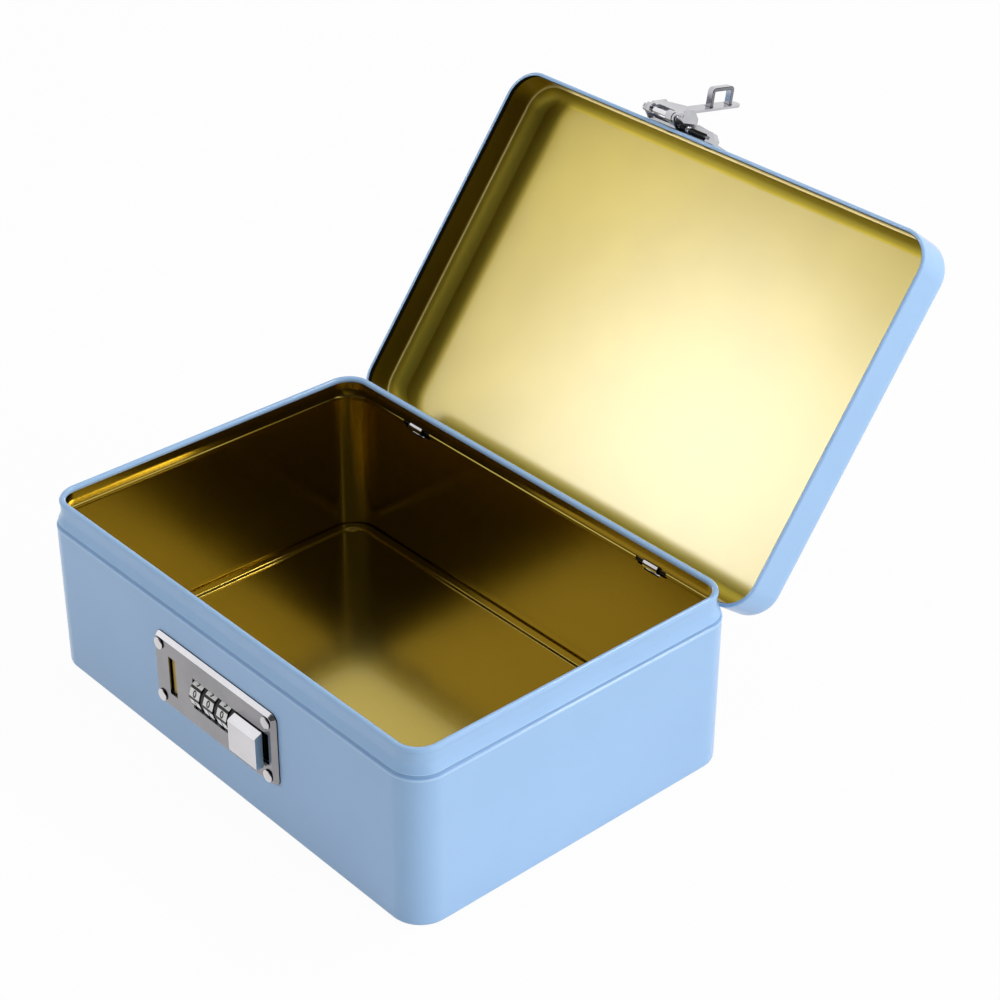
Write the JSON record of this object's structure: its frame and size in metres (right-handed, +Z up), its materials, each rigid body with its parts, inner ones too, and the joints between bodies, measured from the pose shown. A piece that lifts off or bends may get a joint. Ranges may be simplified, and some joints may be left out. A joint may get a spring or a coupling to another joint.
{
  "type": "medication lock box",
  "caption": "Rectangular tin box with rounded corners, a hinged lid standing open, a dial lock on the front wall and a sprung hasp with a staple on the lid.",
  "frame": {"origin": "centre of the box's underside, on the flat face that it stands on", "axes": "+Z up, -Y towards the lock, +X to the right as seen from the lock side"},
  "size_m": [0.2108, 0.2778, 0.1838],
  "materials": {
    "paint_blue": "gloss light blue enamel outside, gold lacquer inside",
    "lacquer_gold": "glossy gold lacquer on tin plate",
    "chrome_bright": "bright plated",
    "steel_plain": "plain zinc plated",
    "steel_black": "oil blackened",
    "steel_yellow": "yellow passivated",
    "dial_ivory": "satin, with black digits",
    "spacer_black": "matte"
  },
  "bodies": {
    "box": {"body_shell": "paint_blue", "bottom_panel": "lacquer_gold", "hinge_pin_left": "steel_plain", "hinge_pin_right": "steel_plain", "lock_plate": "chrome_bright", "lock_rivet_1": "chrome_bright", "lock_rivet_2": "chrome_bright", "lock_rivet_3": "chrome_bright", "lock_rivet_4": "chrome_bright", "lock_frame": "steel_yellow", "lock_case": "steel_yellow", "wheel_spindle": "steel_plain", "wheel_spacer_1": "spacer_black", "wheel_spacer_2": "spacer_black", "wheel_spacer_3": "spacer_black", "wheel_spacer_4": "spacer_black", "detent_spring": "steel_plain", "return_spring": "steel_plain"},
    "lid": {"lid_shell": "paint_blue", "hinge_leaf_left": "steel_plain", "hinge_leaf_right": "steel_plain", "hinge_rivet_1": "steel_plain", "hinge_rivet_2": "steel_plain", "hinge_rivet_3": "steel_plain", "hinge_rivet_4": "steel_plain", "hasp_base": "chrome_bright", "hasp_rivet_1": "steel_plain", "hasp_rivet_2": "steel_plain", "hasp_pin": "steel_plain", "spring_rod": "steel_plain", "hasp_spring": "steel_black"},
    "hasp": {"hasp_flap": "chrome_bright", "hasp_staple": "chrome_bright"},
    "slide": {"lock_bolt": "steel_yellow", "slide_knob": "chrome_bright"},
    "wheel_1": {"dial_wheel_1": "dial_ivory"},
    "wheel_2": {"dial_wheel_2": "dial_ivory"},
    "wheel_3": {"dial_wheel_3": "dial_ivory"}
  },
  "joints": [
    {"name": "lid_hinge", "type": "hinge", "parent": "box", "child": "lid", "pos_m": [0, 0.07205, 0.0608], "axis": [1, 0, 0], "range_deg": [0, 127]},
    {"name": "hasp_hinge", "type": "hinge", "parent": "lid", "child": "hasp", "pos_m": [-0.0285, 0.16199, 0.17916], "axis": [1, 0, 0], "range_deg": [0, 153], "stiffness_Nm_per_rad": 0.006, "springref_deg": -51.57},
    {"name": "bolt_slide", "type": "slide", "parent": "box", "child": "slide", "axis": [1, 0, 0], "range_m": [0, 0.003], "stiffness_N_per_m": 200, "springref_m": -0.002},
    {"name": "wheel_1_turn", "type": "hinge", "parent": "box", "child": "wheel_1", "pos_m": [-0.0088, -0.06983, 0.0342], "axis": [1, 0, 0], "continuous": true},
    {"name": "wheel_2_turn", "type": "hinge", "parent": "box", "child": "wheel_2", "pos_m": [-0.00095, -0.06983, 0.0342], "axis": [1, 0, 0], "continuous": true},
    {"name": "wheel_3_turn", "type": "hinge", "parent": "box", "child": "wheel_3", "pos_m": [0.0069, -0.06983, 0.0342], "axis": [1, 0, 0], "continuous": true}
  ]
}
